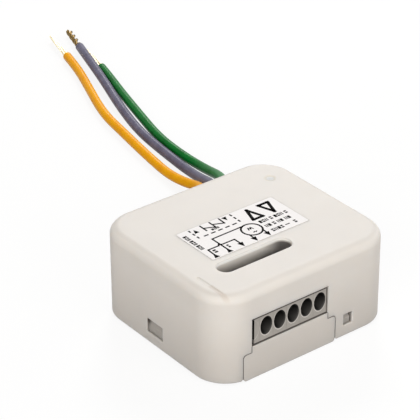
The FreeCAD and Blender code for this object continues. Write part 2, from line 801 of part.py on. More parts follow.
# Places of the components on the board
antenna_x = board_x - ANTENNA_EDGE_GAP
antenna_y0 = -board_y + FRONT_RIGHT_POST[1] + ANTENNA_FRONT_GAP
antenna_y1 = board_y - BACK_RIGHT_POST[1] - ANTENNA_BACK_GAP
relay_ys = share_out(pole_rear, board_y, RELAY_COLUMN_GAPS, RELAY_COLUMN_PARTS)
bulk_y, converter_y, controller_y = share_out(
    pole_rear, board_y, SUPPLY_COLUMN_GAPS, SUPPLY_COLUMN_PARTS)
film_y, varistor_y, choke_y, rectifier_y, radio_y = share_out(
    -board_y, holder_front, INPUT_COLUMN_GAPS, INPUT_COLUMN_PARTS)
relay_x, bulk_x, choke_x = share_out(-board_x, antenna_x, MAIN_ROW_GAPS, MAIN_ROW_PARTS)
film_x = share_out(strip_right, board_x, FRONT_ROW_GAPS, FRONT_ROW_PARTS)[0]
varistor_x, fuse_x = share_out(strip_right, board_x, SECOND_ROW_GAPS, SECOND_ROW_PARTS)
rectifier_x = around(middle(choke_x) + RECTIFIER_SHIFT, RECTIFIER[0])
converter_x = around(middle(bulk_x) + CONVERTER_SHIFT, CONVERTER[0])
controller_x = (relay_x[1] + CONTROLLER_RELAY_GAP,
                relay_x[1] + CONTROLLER_RELAY_GAP + CONTROLLER[0])
radio_x = around(wire_xs[1] + RADIO_SHIFT, RADIO_CHIP[0])
crystal_x = (radio_x[1] + CRYSTAL_RADIO_GAP, radio_x[1] + CRYSTAL_RADIO_GAP + CRYSTAL[0])
led_x = around(dimple_x, LED[0])
led_y = around(dimple_y, LED[1])
crystal_y = (led_y[0] - CRYSTAL_LED_GAP - CRYSTAL[1], led_y[0] - CRYSTAL_LED_GAP)
bulk_radius = round_radius(bulk_x, bulk_y)
choke_radius = round_radius(choke_x, choke_y)
varistor_radius = (varistor_x[1] - varistor_x[0]) / 2
fuse_radius = (fuse_x[1] - fuse_x[0]) / 2


def lead_pair(span_x, span_y, reach):
    """Two leads, one each side of the middle along X."""
    x = middle(span_x)
    y = middle(span_y)
    return [(x - reach, y), (x + reach, y)]


def relay_lead_places(span_y):
    """Three rows of two leads below a relay."""
    xs = [relay_x[0] + RELAY_LEAD_INSET, relay_x[0] + RELAY_COIL_LEAD,
          relay_x[1] - RELAY_LEAD_INSET]
    ys = [span_y[0] + RELAY_LEAD_INSET, span_y[1] - RELAY_LEAD_INSET]
    return [(x, y) for x in xs for y in ys]


relay_leads = [relay_lead_places(span_y) for span_y in relay_ys]
film_leads = lead_pair(film_x, film_y, (film_x[1] - film_x[0]) / 2 - FILM_LEAD_INSET)
bulk_leads = lead_pair(bulk_x, bulk_y, BULK_LEAD)
varistor_leads = lead_pair(varistor_x, varistor_y, VARISTOR_LEAD)
fuse_leads = [(middle(fuse_x), middle(varistor_y))]
choke_leads = lead_pair(choke_x, choke_y, CHOKE_LEAD)
antenna_leads = [(antenna_x, antenna_y0), (antenna_x, antenna_y1)]
holder_leads = [(x, (holder_front + wire_start_y) / 2) for x in wire_xs]
bar_pins = [(clamp_x(pole), bar_leg_y) for pole in range(POLE_COUNT)]


def circuit_board():
    """Board with a hole for each post pin, component lead and contact pin."""
    board = slab(board_x, board_y, inner_radius - BOARD_SIDE_GAP, board_bottom, board_top)
    holes = [(x, y, POST_PIN_RADIUS + POST_PIN_PLAY) for x, y in posts]
    leads = relay_leads[0] + relay_leads[1] + film_leads + bulk_leads + varistor_leads
    leads += fuse_leads + choke_leads + holder_leads
    holes += [(x, y, LEAD_RADIUS + LEAD_PLAY) for x, y in leads]
    holes += [(x, y, ANTENNA_RADIUS + LEAD_PLAY) for x, y in antenna_leads]
    pin_hole = math.hypot(PIN_WIDTH, BAR_THICK) / 2 + LEAD_PLAY
    holes += [(x, y, pin_hole) for x, y in bar_pins]
    return board.cut([rod(x, y, board_bottom - PAST, board_top + PAST, r) for x, y, r in holes])


def relay(index):
    """Sealed relay with six leads and a small vent on its top."""
    span_y = relay_ys[index]
    top = ceiling - RELAY_ROOF_GAP
    case = component_block(relay_x, span_y, top - board_top, RELAY_EDGE)
    case = case.makeFillet(RELAY_TOP_EDGE, edges_at_height(case, top))
    vent = rod(relay_x[0] + VENT_INSET, span_y[0] + VENT_INSET, top - VENT_RISE,
               top + VENT_RISE, VENT_RADIUS)
    return case.fuse([vent] + [lead(x, y) for x, y in relay_leads[index]])


def suppression_capacitor():
    height = ceiling - FILM_ROOF_GAP - board_top
    case = component_block(film_x, film_y, height, FILM_EDGE)
    return case.fuse([lead(x, y) for x, y in film_leads])


def bulk_capacitor():
    """Upright can with a rolled groove near its foot."""
    x = middle(bulk_x)
    y = middle(bulk_y)
    top = ceiling - BULK_ROOF_GAP
    can = rod(x, y, board_top, top, bulk_radius)
    can = can.makeFillet(BULK_EDGE, edges_at_height(can, top))
    groove = Part.makeTorus(bulk_radius + BULK_GROOVE_RADIUS / 2, BULK_GROOVE_RADIUS,
                            V(x, y, board_top + BULK_GROOVE_RISE))
    return can.cut(groove).fuse([lead(x, y) for x, y in bulk_leads])


def varistor():
    """Disc that stands on the board on two leads."""
    z = board_top + varistor_radius + VARISTOR_LIFT
    thickness = varistor_y[1] - varistor_y[0]
    disc = Part.makeCylinder(varistor_radius, thickness, V(middle(varistor_x), varistor_y[0], z),
                             V(0, 1, 0))
    rims = [edge for edge in disc.Edges if edge.BoundBox.YLength < MATCH]
    disc = disc.makeFillet(VARISTOR_EDGE, rims)
    return disc.fuse([rod(x, y, board_bottom - LEAD_BELOW, z, LEAD_RADIUS)
                      for x, y in varistor_leads])


def fuse_resistor():
    """Upright fusible resistor with an end cap at each end."""
    x, y = fuse_leads[0]
    top = board_top + FUSE_HEIGHT
    body = rod(x, y, board_top, top, fuse_radius - FUSE_WAIST)
    caps = [rod(x, y, board_top, board_top + FUSE_CAP, fuse_radius),
            rod(x, y, top - FUSE_CAP, top, fuse_radius)]
    return body.fuse(caps + [lead(x, y)])


def choke():
    """Drum core: two flanges and a wound middle."""
    x = middle(choke_x)
    y = middle(choke_y)
    top = board_top + CHOKE_HEIGHT
    flanges = [rod(x, y, board_top, board_top + CHOKE_FLANGE, choke_radius),
               rod(x, y, top - CHOKE_FLANGE, top, choke_radius)]
    winding = rod(x, y, board_top, top, choke_radius - CHOKE_LAP)
    return winding.fuse(flanges + [lead(x, y) for x, y in choke_leads])


def light_pipe():
    """Clear rod that carries the light of the LED to the thin spot in the roof."""
    bottom = board_top + LED[2] + LIGHT_PIPE_LED_GAP
    return rod(dimple_x, dimple_y, bottom, light_pipe_top, LIGHT_PIPE_RADIUS)


def antenna():
    """Bent wire that stands on the board on its two ends."""
    low = board_bottom - LEAD_BELOW
    high = ceiling - ANTENNA_ROOF_GAP
    points = [V(antenna_x, antenna_y0, low), V(antenna_x, antenna_y0, high),
              V(antenna_x, antenna_y1, high), V(antenna_x, antenna_y1, low)]
    path = rounded_path(points, [0, ANTENNA_BEND, ANTENNA_BEND, 0], False)
    return tube(path, points[0], V(0, 0, 1), ANTENNA_RADIUS)


def wire_holder():
    """Block on the board that the three wires end in."""
    span_x = (wire_xs[0] - HOLDER_SIDE, wire_xs[-1] + HOLDER_SIDE)
    block = component_block(span_x, (holder_front, holder_rear), HOLDER_HEIGHT, HOLDER_EDGE)
    holes = [wire_hole(x, wire_start_y, holder_rear + PAST) for x in wire_xs]
    pin_holes = []
    for x, y in holder_leads:
        pin_holes.append(rod(x, y, board_top - PAST, WIRE_EXIT_Z, LEAD_RADIUS + PIN_PLAY))
    return block.cut(holes + pin_holes)


def holder_pins():
    """Three pins inside the holder that carry the wires down to the board."""
    solids = []
    for x, y in holder_leads:
        solids.append(rod(x, y, board_bottom - LEAD_BELOW, WIRE_EXIT_Z, LEAD_RADIUS))
    return Part.makeCompound(solids)


def tube(path, start, direction, radius):
    """A round solid along a path of straight lines and arcs."""
    profile = Part.Wire(Part.makeCircle(radius, start, direction))
    return path.makePipeShell([profile], True, False)


def wire_points(name, x):
    """Route of a wire: straight out of the housing, down, then along the surface."""
    out_y = half_depth + WIRE_STRAIGHT
    first = [V(x, wire_start_y, WIRE_EXIT_Z), V(x, out_y, WIRE_EXIT_Z)]
    return first + [V(x + dx, half_depth + dy, z) for dx, dy, z in WIRE_ROUTES[name]]


def bend_radii(points):
    """Each bend is as wide as the shorter of its two runs allows."""
    radii = [0]
    for before, corner, after in zip(points, points[1:], points[2:]):
        run = min((corner - before).Length, (after - corner).Length)
        half_turn = (corner - before).getAngle(after - corner) / 2
        radii.append(BEND_SHARE * run / math.tan(half_turn))
    return radii + [0]


def wire(name, x):
    """Insulation of one wire."""
    points = wire_points(name, x)
    radii = bend_radii(points)
    path = rounded_path(points, radii, False)
    solid = tube(path, points[0], V(0, 1, 0), WIRE_RADIUS)
    section = math.pi * WIRE_RADIUS ** 2
    print(name, "bend radii", [round(radius, 1) for radius in radii[1:-1]])
    print(name, "length", round(path.Length, 1), "volume", round(solid.Volume, 2),
          "section times length", round(section * path.Length, 2))
    return solid


def bare_end(name, x):
    """Stripped conductor in line with the end of its wire."""
    points = wire_points(name, x)
    direction = unit(points[-1] - points[-2])
    return Part.makeCylinder(BARE_RADIUS, BARE_LENGTH[name], points[-1], direction)


def all_nodes():
    nodes = {
        "top_shell": top_shell(),
        "base": base(),
        "label": label(),
        "circuit_board": circuit_board(),
        "terminal_end_plate": terminal_end_plate(),
        "relay_up": relay(0),
        "relay_down": relay(1),
        "suppression_capacitor": suppression_capacitor(),
        "bulk_capacitor": bulk_capacitor(),
        "varistor": varistor(),
        "fuse_resistor": fuse_resistor(),
        "choke": choke(),
        "bridge_rectifier": component_block(rectifier_x, rectifier_y, RECTIFIER[1], CHIP_EDGE),
        "power_converter": component_block(converter_x, converter_y, CONVERTER[1], CHIP_EDGE),
        "microcontroller": component_block(controller_x, controller_y, CONTROLLER[1], CHIP_EDGE),
        "radio_chip": component_block(radio_x, radio_y, RADIO_CHIP[1], CHIP_EDGE),
        "crystal": component_block(crystal_x, crystal_y, CRYSTAL[2], CRYSTAL_EDGE),
        "antenna": antenna(),
        "status_led": component_block(led_x, led_y, LED[2], LED_EDGE),
        "light_pipe": light_pipe(),
        "wire_holder": wire_holder(),
        "holder_pins": holder_pins(),
    }
    for pole in range(POLE_COUNT):
        number = str(pole + 1)
        nodes["terminal_pole_" + number] = terminal_pole(pole)
        nodes["release_key_" + number] = release_key(pole)
        nodes["clamp_spring_" + number] = clamp_spring(pole)
        nodes["contact_bar_" + number] = contact_bar(pole)
    for name, x in zip(WIRE_ROUTES, wire_xs):
        nodes["wire_" + name] = wire(name, x)
        nodes["bare_end_" + name] = bare_end(name, x)
    return nodes


os.makedirs("parts", exist_ok=True)
for node, shape in all_nodes().items():
    if not shape.isValid():
        print("not valid:", node)
    shape.exportStep("parts/" + node + ".step")
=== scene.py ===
import json
import math

import bmesh
import bpy
from mathutils import Matrix, Vector


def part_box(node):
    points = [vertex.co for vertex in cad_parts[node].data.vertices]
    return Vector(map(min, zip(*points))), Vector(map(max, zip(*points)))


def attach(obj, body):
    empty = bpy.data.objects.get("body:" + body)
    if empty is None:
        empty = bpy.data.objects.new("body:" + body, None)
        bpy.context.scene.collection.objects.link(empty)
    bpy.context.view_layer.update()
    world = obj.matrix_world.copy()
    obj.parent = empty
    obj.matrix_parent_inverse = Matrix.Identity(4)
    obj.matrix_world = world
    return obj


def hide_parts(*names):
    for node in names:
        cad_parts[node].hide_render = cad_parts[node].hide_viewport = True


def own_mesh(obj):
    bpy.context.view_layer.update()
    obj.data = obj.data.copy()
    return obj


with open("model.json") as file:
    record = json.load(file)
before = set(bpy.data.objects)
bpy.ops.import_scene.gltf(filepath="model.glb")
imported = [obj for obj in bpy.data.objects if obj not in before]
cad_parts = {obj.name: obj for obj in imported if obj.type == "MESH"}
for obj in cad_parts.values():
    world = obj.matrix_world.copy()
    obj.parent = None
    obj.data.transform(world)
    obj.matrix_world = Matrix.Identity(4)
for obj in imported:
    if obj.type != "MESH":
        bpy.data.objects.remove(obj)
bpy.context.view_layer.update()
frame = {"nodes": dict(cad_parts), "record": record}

nodes = frame["nodes"]
MM = 0.001

# The housing's outline, seen from above, in metres
HALF_WIDTH = 0.02325
HALF_DEPTH = 0.02075
CORNER = 0.0076

# Camera

EYE = (-0.22331, -0.27470, 0.22976)
CAMERA_RIGHT = (0.7871, -0.6168, -0.0043)
CAMERA_UP = (0.3124, 0.3925, 0.8651)
LENS = 170.69  # in millimetres, as is the sensor's width
SENSOR = 36


def add_camera():
    """The photograph's viewpoint. The long lens keeps the housing's edges nearly parallel."""
    right = Vector(CAMERA_RIGHT).normalized()
    up = Vector(CAMERA_UP)
    up = (up - right * up.dot(right)).normalized()
    turn = Matrix((right, up, right.cross(up))).transposed()
    data = bpy.data.cameras.new("camera")
    data.lens = LENS
    data.sensor_width = SENSOR
    data.clip_start = 0.01
    data.clip_end = 20
    camera = bpy.data.objects.new("camera", data)
    camera.matrix_world = Matrix.Translation(EYE) @ turn.to_4x4()
    bpy.context.collection.objects.link(camera)
    bpy.context.scene.camera = camera


add_camera()

# Cords

WIRE_RADIUS = 0.00115

# Control points. The first of each lies inside the housing, the second straight behind it.
ROUTES = {
    "orange": [
        (0.0074, 0.0149, 0.0104), (0.0074, 0.0290, 0.0104), (0.0220, 0.0396, 0.0039),
        (0.0214, 0.0528, 0.0012), (0.0233, 0.0660, 0.0012), (0.0258, 0.0795, 0.0012),
        (0.0279, 0.0909, 0.0012), (0.0339, 0.1063, 0.0012), (0.0374, 0.1156, 0.0012),
        (0.0395, 0.1234, 0.0012),
    ],
    "grey": [
        (0.0109, 0.0149, 0.0104), (0.0109, 0.0280, 0.0104), (0.0218, 0.0366, 0.0063),
        (0.0261, 0.0510, 0.0012), (0.0277, 0.0664, 0.0012), (0.0293, 0.0776, 0.0012),
        (0.0333, 0.0910, 0.0012), (0.0382, 0.1054, 0.0019), (0.0423, 0.1183, 0.0021),
        (0.0448, 0.1252, 0.0017),
    ],
    "green": [
        (0.0144, 0.0149, 0.0104), (0.0144, 0.0270, 0.0104), (0.0251, 0.0379, 0.0065),
        (0.0300, 0.0528, 0.0012), (0.0301, 0.0624, 0.0012), (0.0312, 0.0723, 0.0012),
        (0.0346, 0.0846, 0.0012), (0.0381, 0.0970, 0.0012), (0.0413, 0.1072, 0.0012),
        (0.0427, 0.1123, 0.0012),
    ],
}
BARE_LENGTH = {"orange": 0.0130, "grey": 0.0115, "green": 0.0110}
BARE_METAL = {"orange": "tinned_strands", "grey": "copper_strands", "green": "tinned_strands"}


def curve_object(name, points, radius):
    """A smooth round line with the route's points as its control points. A radius of 0 leaves
    it without a skin."""
    curve = bpy.data.curves.new(name, "CURVE")
    curve.dimensions = "3D"
    curve.resolution_u = 16
    curve.bevel_depth = 1 if radius else 0
    curve.bevel_resolution = 7
    curve.use_fill_caps = True
    spline = curve.splines.new("NURBS")
    spline.points.add(len(points) - 1)
    for point, place in zip(spline.points, points):
        point.co = (*place, 1)
        point.radius = radius
    spline.order_u = 3
    spline.use_endpoint_u = True
    piece = bpy.data.objects.new(name, curve)
    bpy.context.collection.objects.link(piece)
    return piece


def centre_line(name, points):
    """The points that the smooth line itself goes through."""
    guide = curve_object(name + "_line", points, 0)
    mesh = bpy.data.meshes.new_from_object(guide)
    line = [vertex.co.copy() for vertex in mesh.vertices]
    bpy.data.meshes.remove(mesh)
    curve = guide.data
    bpy.data.objects.remove(guide)
    bpy.data.curves.remove(curve)
    return line


def mesh_object(name, bm, smooth=True):
    """An object made from a bmesh, with its faces turned outwards."""
    mesh = bpy.data.meshes.new(name)
    bmesh.ops.recalc_face_normals(bm, faces=bm.faces)
    bm.to_mesh(mesh)
    bm.free()
    for face in mesh.polygons:
        face.use_smooth = smooth
    piece = bpy.data.objects.new(name, mesh)
    bpy.context.collection.objects.link(piece)
    return piece


def skin(bm, rings):
    """Faces between rings of points that follow each other, with both ends closed."""
    sides = len(rings[0])
    for low, high in zip(rings, rings[1:]):
        for k in range(sides):
            bm.faces.new((low[k], low[(k + 1) % sides], high[(k + 1) % sides], high[k]))
    bm.faces.new(reversed(rings[0]))
    bm.faces.new(rings[-1])


def add_strand(bm, path, radius, sides=8):
    """A thin round wire along a path."""
    rings = []
    side = (path[1] - path[0]).orthogonal().normalized()
    for i, place in enumerate(path):
        ahead = path[min(i + 1, len(path) - 1)] - path[max(i - 1, 0)]
        ahead.normalize()
        side = (side - ahead * side.dot(ahead)).normalized()
        other = ahead.cross(side)
        ring = []
        for k in range(sides):
            turn = 2 * math.pi * k / sides
            offset = side * math.cos(turn) + other * math.sin(turn)
            ring.append(bm.verts.new(place + offset * radius))
        rings.append(ring)
    skin(bm, rings)


def twisted_path(start, ahead, length, steps, turns):
    """A path round an axis. Each turn is (radius, lay length, start angle)."""
    side = ahead.orthogonal().normalized()
    other = ahead.cross(side)
    path = []
    for i in range(steps + 1):
        along = length * i / steps
        place = start + ahead * along
        for radius, lay, angle in turns:
            turn = angle + 2 * math.pi * along / lay
            place = place + (side * math.cos(turn) + other * math.sin(turn)) * radius
        path.append(place)
    return path


# For each bare end: bundles, strands in a bundle, radius of the bundle ring, radius of the
# ring of strands in a bundle, strand radius, lay of the bundles, lay of the strands
BARE_LAYS = {
    "orange": (2, 5, 0.00030, 0.00025, 0.000180, 0.0500, 0.0400),
    "grey": (2, 6, 0.00044, 0.00028, 0.000180, 0.0058, 0.0120),
    "green": (2, 5, 0.00030, 0.00025, 0.000180, 0.0440, 0.0400),
}
STRAND_ROOT = 0.0015  # how far the strands reach into the insulation
STRAND_STEPS = 44
UNEVEN_CUT = 0.00035  # the most that a strand is shorter than its neighbours


def add_bare_end(name, tip, ahead):
    """Twisted strands of a stripped conductor, one in the middle of each bundle, cut a little
    unevenly."""
    bundles, count, bundle_ring, ring, radius, bundle_lay, lay = BARE_LAYS[name]
    bm = bmesh.new()
    start = tip - ahead * STRAND_ROOT
    for bundle in range(bundles):
        bundle_angle = 2 * math.pi * bundle / bundles
        for strand in range(count):
            shorter = UNEVEN_CUT * ((strand * 5 + bundle * 3) % 7) / 6
            length = BARE_LENGTH[name] + STRAND_ROOT - shorter
            turns = [(bundle_ring, bundle_lay, bundle_angle)]
            if strand:
                turns.append((ring, lay, 2 * math.pi * strand / (count - 1)))
            add_strand(bm, twisted_path(start, ahead, length, STRAND_STEPS, turns), radius)
    return mesh_object("strands_" + name, bm)


cords = {}
bare_ends = {}
for wire, points in ROUTES.items():
    line = centre_line(wire, points)
    ahead = (line[-1] - line[-2]).normalized()
    cords[wire] = curve_object("insulation_" + wire, points, WIRE_RADIUS)
    bare_ends[wire] = add_bare_end(wire, line[-1], ahead)
    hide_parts("bare_end_" + wire)
    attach(bare_ends[wire], "module")
    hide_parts("wire_" + wire)
    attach(cords[wire], "module")

# Materials

NOISE_LOW, NOISE_HIGH = 0.3, 0.7  # most values of a noise lie between these


def srgb(red, green, blue):
    """A colour as it is read from a screen, 0 to 255, turned into a linear one."""
    linear = []
    for value in (red, green, blue):
        share = value / 255
        linear.append(share / 12.92 if share < 0.04045 else ((share + 0.055) / 1.055) ** 2.4)
    return (*linear, 1)


class Look:
    """A material made of nodes, with helpers for what most of them share."""

    def __init__(self, name, **shader):
        self.material = bpy.data.materials.new(name)
        self.material.use_nodes = True
        self.tree = self.material.node_tree
        self.shader = self.tree.nodes["Principled BSDF"]
        for socket, value in shader.items():
            self.shader.inputs[socket.replace("_", " ")].default_value = value
        self.place = self.tree.nodes.new("ShaderNodeTexCoord").outputs["Object"]

    def node(self, kind, **values):
        node = self.tree.nodes.new("ShaderNode" + kind)
        for name, value in values.items():
            setattr(node, name, value)
        return node

    def feed(self, value, socket):
        """Sets a plain value or colour on the socket, or links an output to it."""
        if isinstance(value, (int, float, tuple)):
            socket.default_value = value
        else:
            self.tree.links.new(value, socket)

    def stretched(self, x, y, z):
        """The object's coordinates, scaled along each axis."""
        mapping = self.node("Mapping")
        mapping.inputs["Scale"].default_value = (x, y, z)
        self.feed(self.place, mapping.inputs["Vector"])
        return mapping.outputs["Vector"]

    def axes(self):
        """The object's X, Y and Z at each point of its surface."""
        node = self.node("SeparateXYZ")
        self.feed(self.place, node.inputs["Vector"])
        return node.outputs["X"], node.outputs["Y"], node.outputs["Z"]

    def noise(self, scale, detail=2.0, roughness=0.5, place=None):
        node = self.node("TexNoise")
        node.inputs["Scale"].default_value = scale
        node.inputs["Detail"].default_value = detail
        node.inputs["Roughness"].default_value = roughness
        self.feed(place or self.place, node.inputs["Vector"])
        return node.outputs["Fac"]

    def ramp(self, factor, *stops):
        """Colours at places from 0 to 1."""
        node = self.node("ValToRGB")
        points = node.color_ramp.elements
        while len(points) < len(stops):
            points.new(0.5)
        for point, (place, colour) in zip(points, stops):
            point.position = place
            point.color = colour
        self.feed(factor, node.inputs["Fac"])
        return node.outputs["Color"]

    def mix(self, factor, first, second):
        """The first colour where the factor is 0, the second where it is 1."""
        node = self.node("Mix", data_type="RGBA")
        self.feed(factor, node.inputs["Factor"])
        self.feed(first, node.inputs["A"])
        self.feed(second, node.inputs["B"])
        return node.outputs["Result"]

    def remap(self, value, from_low, from_high, to_low, to_high):
        """A value moved from one range into another and kept inside it."""
        node = self.node("MapRange")
        node.inputs["From Min"].default_value = from_low
        node.inputs["From Max"].default_value = from_high
        node.inputs["To Min"].default_value = to_low
        node.inputs["To Max"].default_value = to_high
        self.feed(value, node.inputs["Value"])
        return node.outputs["Result"]

    def compute(self, operation, *values):
        node = self.node("Math", operation=operation)
        for socket, value in zip(node.inputs, values):
            self.feed(value, socket)
        return node.outputs["Value"]

    def times(self, first, *others):
        """The product of all values."""
        for other in others:
            first = self.compute("MULTIPLY", first, other)
        return first

    def band(self, value, low, high, fade=0.00002):
        """1 between two values and 0 outside them, with a short fade outside each end."""
        return self.times(self.remap(value, low - fade, low, 0, 1),
                          self.remap(value, high, high + fade, 1, 0))

    def reach(self, x, y, half_x, half_y, corner):
        """How far a point is from the core of a rounded rectangle round 0, 0: the corner
        radius on its outline, less inside it."""
        squares = []
        for value, half in ((x, half_x), (y, half_y)):
            past = self.compute("SUBTRACT", self.compute("ABSOLUTE", value), half - corner)
            past = self.compute("MAXIMUM", past, 0.0)
            squares.append(self.times(past, past))
        return self.compute("SQRT", self.compute("ADD", *squares))

    def colour(self, output):
        self.feed(output, self.shader.inputs["Base Color"])

    def roughness(self, factor, low, high):
        rough = self.remap(factor, NOISE_LOW, NOISE_HIGH, low, high)
        self.feed(rough, self.shader.inputs["Roughness"])

    def bump(self, height, strength, distance, under=None):
        """Small relief. A second bump takes the first one as what lies under it."""
        node = self.node("Bump")
        node.inputs["Strength"].default_value = strength
        node.inputs["Distance"].default_value = distance
        self.feed(height, node.inputs["Height"])
        if under is not None:
            self.feed(under, node.inputs["Normal"])
        self.feed(node.outputs["Normal"], self.shader.inputs["Normal"])
        return node.outputs["Normal"]


def tinted(colour, by):
    """A linear colour made lighter or darker."""
    return tuple(min(1.0, value * by) for value in colour[:3]) + (1,)


def moulded(name, colour, grain, low, high, patch_scale=130, spread=0.03, bump=0.12, **shader):
    """Moulded plastic: slightly uneven colour, fine spark-eroded grain and soft gloss. Its
    roughness runs from low to high."""
    look = Look(name, **shader)
    look.patches = look.ramp(look.noise(patch_scale, 3), (NOISE_LOW, tinted(colour, 1 - spread)),
                             (NOISE_HIGH, tinted(colour, 1 + spread)))
    look.colour(look.patches)
    fine = look.noise(grain, 4, 0.6)
    look.roughness(fine, low, high)
    waves = look.bump(look.noise(160, 1), strength=0.05, distance=0.0002)
    look.bump(fine, strength=bump, distance=0.00003, under=waves)
    look.material.diffuse_color = colour
    return look


# Places of the painted shade, painted highlights and pale spot on the housing, in the node's own
# coordinates. A pair is a band, a half size or, for a middle, X and Y.
LIGHT_SPOT = (0.0168, 0.0122, 0)
STRIPE_X, STRIPE_Y = (-0.0203, -0.0197), (-0.0203, -0.0140)
LABEL_MIDDLE, LABEL_HALF, LABEL_CORNER = (-0.001, -0.00045), (0.0126, 0.00615), 0.0002
OPENING_X, OPENING_Z = (-0.01500, 0.00500), (0.00775, 0.01425)
FRONT_WALL_Y = (-0.02055, -0.0180)
APRON_MIDDLE_X, APRON_HALF, APRON_CORNER = -0.004925, (0.012125, 0.0065), 0.001
APRON_NECK_X, APRON_NECK_Z = (0.00991, 0.01004), (0.0065, 0.0078)
SLOT_X, SLOT_Y, SLOT_EDGE_Z = (-0.0154, 0.0038), (-0.0123, -0.0080), (0.0201, 0.0205)

# Places between which that paint fades
ROOF_FADE = (0.0203, 0.0207)
STRIPE_FADE = (0.0192, 0.0203)
LABEL_FADE = (LABEL_CORNER, 0.0008)
FOOT_SHADE_FADE = (0.001, 0.015)
INNER_FACE_FADE = (CORNER - 0.0002, CORNER - 0.0004)
WINDOW_TOP_FADE = (0.0168, 0.0160)
CORNER_SHADE_FADES = (0.0024, 0.0030), (0.0040, 0.0052), (-0.0190, -0.0200)
SEAM_SIDE_FADE, SEAM_DEPTH_FADE = (0.0099, 0.0100), (-0.0190, -0.0192)
SLOT_FAR_FADE = (-0.0105, -0.0095)
SLOT_DEPTH_FADE = (0.0202, 0.0175)
SLOT_RIM_FADES = (-0.0030, 0.0025), (0.0205, 0.0198)

ROOF_SHADE = (60, 56, 54)


def light_spot_paint(look, patches):
    """A pale spot with a warm ring, where the roof is thin over the light pipe."""
    distance = look.node("VectorMath", operation="DISTANCE")
    look.feed(look.stretched(1, 1, 0), distance.inputs[0])
    distance.inputs[1].default_value = LIGHT_SPOT
    away = distance.outputs["Value"]
    patches = look.mix(look.remap(away, 0.0011, 0.0008, 0, 0.9), patches, srgb(255, 252, 246))
    ring = look.times(look.band(away, 0.0009, 0.0012, 0.0003), 0.40)
    return look.mix(ring, patches, srgb(232, 216, 186))


def roof_shade_paint(look, patches, x, y, z):
    """Painted shade along the line in the roof, painted shade that darkens the flat roof a
    little and a painted soft shade round the label."""
    # Painted shade along the line in the roof, strongest on the roof and fading down its edge.
    crease_shade = look.times(look.band(x, *STRIPE_X, fade=0.0004),
                        look.band(y, *STRIPE_Y, fade=0.0004),
                        look.remap(z, *STRIPE_FADE, 0, 0.3))
    patches = look.mix(crease_shade, patches, srgb(196, 176, 158))
    # Painted shade: the flat roof is darkened a little.
    patches = look.mix(look.remap(z, *ROOF_FADE, 0, 0.105), patches, srgb(*ROOF_SHADE))
    across = look.compute("SUBTRACT", x, LABEL_MIDDLE[0])
    along = look.compute("SUBTRACT", y, LABEL_MIDDLE[1])
    beyond = look.reach(across, along, *LABEL_HALF, LABEL_CORNER)
    shade = look.times(look.remap(beyond, *LABEL_FADE, 0.15, 0),
                       look.remap(z, *ROOF_FADE, 0, 1))
    return look.mix(shade, patches, srgb(*ROOF_SHADE))


def wall_shade_paint(look, patches, x, y, z):
    """Painted shade that darkens the walls downwards, painted shade on the inside that shows in
    the windows and is darkest in a corner of the left one, painted shade on the sides of the
    opening round the terminal strip and painted shade in the seams round the apron."""
    # Painted shade: the walls darken towards their foot.
    patches = look.mix(look.remap(z, *FOOT_SHADE_FADE, 0.24, 0), patches, srgb(20, 18, 16))
    # Painted shade on the inside, behind the outer faces and below the windows' top, shown
    # through the windows; up to 2.1 times as strong in a rear corner of the left window.
    outline = look.reach(x, y, HALF_WIDTH, HALF_DEPTH, CORNER)
    inside = look.times(look.remap(outline, *INNER_FACE_FADE, 0, 1),
                        look.remap(z, *WINDOW_TOP_FADE, 0, 0.45))
    corner_y, corner_z, corner_x = CORNER_SHADE_FADES
    corner_shade = look.times(look.remap(y, *corner_y, 0, 1), look.remap(z, *corner_z, 0.2, 1),
                             look.remap(x, *corner_x, 0, 1))
    inside = look.times(inside, look.remap(corner_shade, 0, 1, 1, 2.1))
    patches = look.mix(inside, patches, srgb(78, 72, 66))
    # Painted shade on the sides of the opening round the terminal strip, near the front wall.
    opening = look.times(look.band(x, *OPENING_X), look.band(z, *OPENING_Z),
                         look.band(y, *FRONT_WALL_Y, fade=0.00015), 0.7)
    patches = look.mix(opening, patches, srgb(48, 42, 37))
    # Painted shade on the walls of the seams round the apron and at its neck, near the front
    # face.
    across = look.compute("SUBTRACT", x, APRON_MIDDLE_X)
    beside = look.compute("ABSOLUTE", across)
    seam_shade = look.band(look.reach(across, z, *APRON_HALF, APRON_CORNER), 0.00089, 0.00101)
    seam_shade = look.times(seam_shade, look.remap(beside, *SEAM_SIDE_FADE, 0, 1))
    neck = look.times(look.band(beside, *APRON_NECK_X), look.band(z, *APRON_NECK_Z))
    seam_shade = look.times(look.compute("MAXIMUM", seam_shade, neck),
                      look.remap(y, *SEAM_DEPTH_FADE, 0, 0.9))
    return look.mix(seam_shade, patches, srgb(62, 50, 42))


def slot_light_and_shade(look, patches, x, y, z):
    """A painted highlight on the slot's far edge, over painted shade inside that darkens with
    depth and towards the right end, where the painted shade starts nearer to the top."""
    slot = look.times(look.band(x, *SLOT_X), look.band(y, *SLOT_Y))
    # Painted highlight along the top of the slot's far side.
    far_edge_highlight = look.times(slot, look.remap(y, *SLOT_FAR_FADE, 0, 1),
                          look.band(z, *SLOT_EDGE_Z, fade=0.0002))
    patches = look.mix(far_edge_highlight, patches, srgb(255, 250, 243))
    # Painted shade inside the slot: darker with depth and towards the right end, where it starts
    # nearer the top.
    rim_x, rim_z = SLOT_RIM_FADES
    right_rim_shade = look.times(look.remap(x, *rim_x, 0, 1), look.remap(z, *rim_z, 0, 0.85))
    depth_shade = look.compute("MAXIMUM", right_rim_shade, look.remap(z, *SLOT_DEPTH_FADE, 0, 1))
    along = look.compute("ADD", look.remap(x, -0.0060, 0.0005, 0.66, 0.79),
                         look.remap(x, 0.0005, 0.0030, 0, 0.21))
    return look.mix(look.times(slot, look.times(depth_shade, along)), patches, srgb(24, 21, 18))


